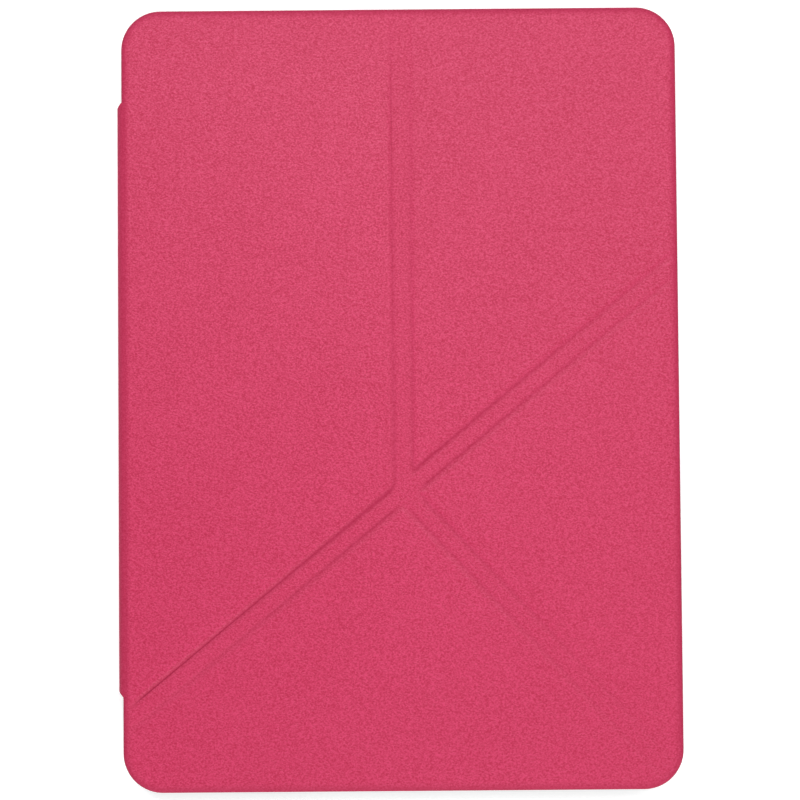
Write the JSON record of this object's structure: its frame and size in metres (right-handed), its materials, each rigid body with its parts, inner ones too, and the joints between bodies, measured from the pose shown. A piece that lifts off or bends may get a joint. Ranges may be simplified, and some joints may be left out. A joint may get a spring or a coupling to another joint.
{
  "type": "tablet case",
  "caption": "Book-style tablet case: a hard tray with port cut-outs, a soft spine, and a four-panel cover whose creases meet at one point and fold into a stand.",
  "frame": {"origin": "centre of the closed case's outline, on the plane that its back rests on", "axes": "+X from the spine to the free edge, +Y to the top edge, +Z out of the front cover"},
  "size_m": [0.176, 0.245, 0.0126],
  "materials": {
    "leatherette": "satin with a fine silk-like cross grain",
    "lining": "soft microfibre",
    "shell": "matte moulded polycarbonate",
    "board": "plain greyboard",
    "spine_stiffener": "plain sheet",
    "magnet": "plated"
  },
  "bodies": {
    "rear_case": {"rear_shell": "shell", "rear_skin": "leatherette"},
    "spine": {"rear_hinge_strip": "leatherette", "spine_skin": "leatherette", "spine_board": "spine_stiffener", "spine_lining": "lining"},
    "cover_left": {"front_hinge_strip": "leatherette", "left_skin": "leatherette", "left_board": "board", "left_lining": "lining"},
    "cover_top": {"vertical_crease": "leatherette", "top_skin": "leatherette", "top_board": "board", "top_lining": "lining", "top_magnets": "magnet"},
    "cover_right": {"upper_right_crease": "leatherette", "right_skin": "leatherette", "right_board": "board", "right_lining": "lining", "right_magnets": "magnet", "lower_right_crease_right_half": "leatherette"},
    "cover_bottom": {"lower_left_crease": "leatherette", "bottom_skin": "leatherette", "bottom_board": "board", "bottom_lining": "lining", "lower_right_crease_bottom_half": "leatherette"}
  },
  "joints": [
    {"name": "spine_swing", "type": "hinge", "parent": "rear_case", "child": "spine", "pos_m": [-0.08703, 0, 0.00097], "axis": [0, -1, 0], "range_deg": [0, 179], "deforming": ["rear_hinge_strip"]},
    {"name": "cover_swing", "type": "hinge", "parent": "spine", "child": "cover_left", "pos_m": [-0.08703, 0, 0.01103], "axis": [0, -1, 0], "range_deg": [0, 90], "deforming": ["front_hinge_strip"]},
    {"name": "crease_vertical", "type": "hinge", "parent": "cover_left", "child": "cover_top", "pos_m": [0.00135, -0.0293, 0.01275], "axis": [0, -1, 0], "range_deg": [0, 179], "deforming": ["vertical_crease"]},
    {"name": "crease_upper_right", "type": "hinge", "parent": "cover_top", "child": "cover_right", "pos_m": [0.00135, -0.0293, 0.01275], "axis": [0.7716, 0.6361, 0], "range_deg": [0, 94], "deforming": ["upper_right_crease", "lower_right_crease_right_half"]},
    {"name": "crease_lower_left", "type": "hinge", "parent": "cover_left", "child": "cover_bottom", "pos_m": [0.00135, -0.0293, 0.01275], "axis": [-0.7716, -0.6361, 0], "range_deg": [0, 94], "deforming": ["lower_left_crease", "lower_right_crease_bottom_half"]}
  ],
  "couplings": [
    {"joint": "crease_upper_right", "follows": "crease_vertical", "ratio": 0.5249},
    {"joint": "crease_lower_left", "follows": "crease_vertical", "ratio": 0.5249}
  ]
}
